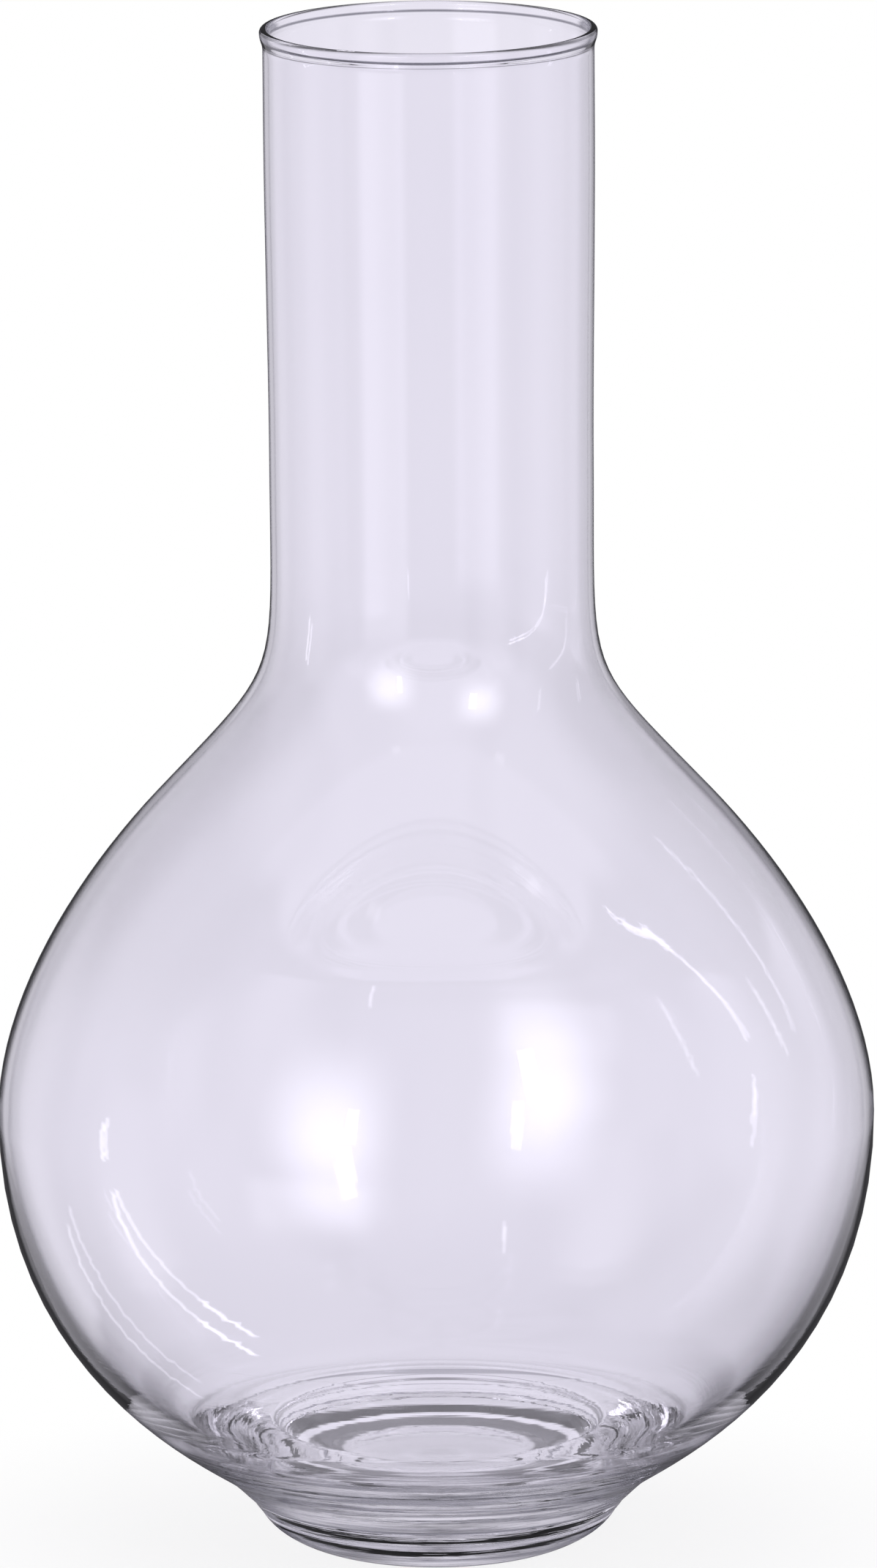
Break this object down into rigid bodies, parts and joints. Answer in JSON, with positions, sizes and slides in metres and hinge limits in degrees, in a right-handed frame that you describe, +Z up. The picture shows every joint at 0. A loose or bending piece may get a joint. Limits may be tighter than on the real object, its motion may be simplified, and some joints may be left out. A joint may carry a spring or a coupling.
{
  "type": "flower vase",
  "caption": "Clear glass bottle vase: wide round bulb on a small solid foot, tall straight neck with a round fire-polished lip.",
  "frame": {"origin": "middle of the resting face, on the vase's axis", "axes": "+Z up along the vase's axis; the vase is round, so X and Y are free"},
  "size_m": [0.2274, 0.2274, 0.4],
  "materials": {
    "blown_glass": "fire polished, clear with a very slight lilac cast",
    "foot_glass": "clear heavy glass with fine tool marks, very slight lilac cast"
  },
  "bodies": {
    "root": {"vessel": "blown_glass", "foot": "foot_glass"}
  },
  "joints": []
}
